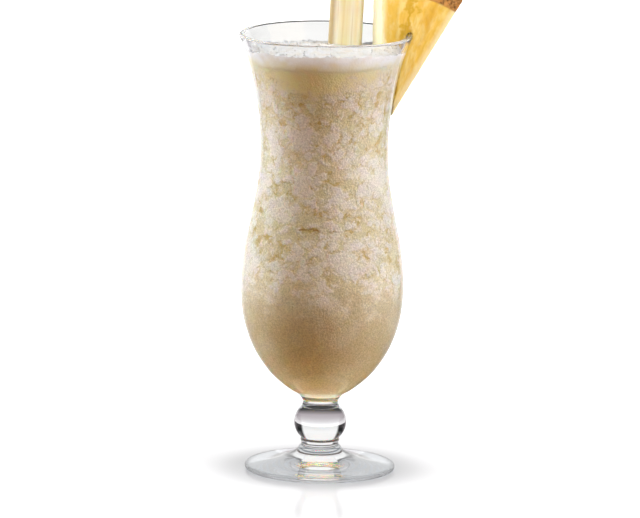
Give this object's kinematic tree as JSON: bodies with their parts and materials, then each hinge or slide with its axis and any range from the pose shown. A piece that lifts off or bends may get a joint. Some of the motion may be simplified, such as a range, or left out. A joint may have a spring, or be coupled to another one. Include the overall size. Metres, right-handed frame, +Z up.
{
  "type": "pina colada in a hurricane glass",
  "caption": "Frozen pina colada filling a tall footed glass with a waisted bowl and ball stem, a pale cane stick standing in it and a fruit wedge slit over the rim.",
  "frame": {"origin": "middle of the foot's flat underside, on the axis of the glass", "axes": "+Z up along the glass, +X towards the side that carries the wedge, -Y the front"},
  "size_m": [0.1035, 0.0802, 0.241],
  "materials": {
    "glass": "polished clear glass",
    "liquid": "opaque creamy liquid",
    "slush": "mottled icy slush",
    "froth": "soft wet froth",
    "cane": "raw fibrous peeled cane",
    "pineapple": "moist fruit flesh, rough brown rind on top"
  },
  "bodies": {
    "root": {"glass": "glass", "liquid": "liquid", "slush": "slush", "froth": "froth", "cane_stick": "cane", "pineapple_wedge": "pineapple"}
  },
  "joints": []
}
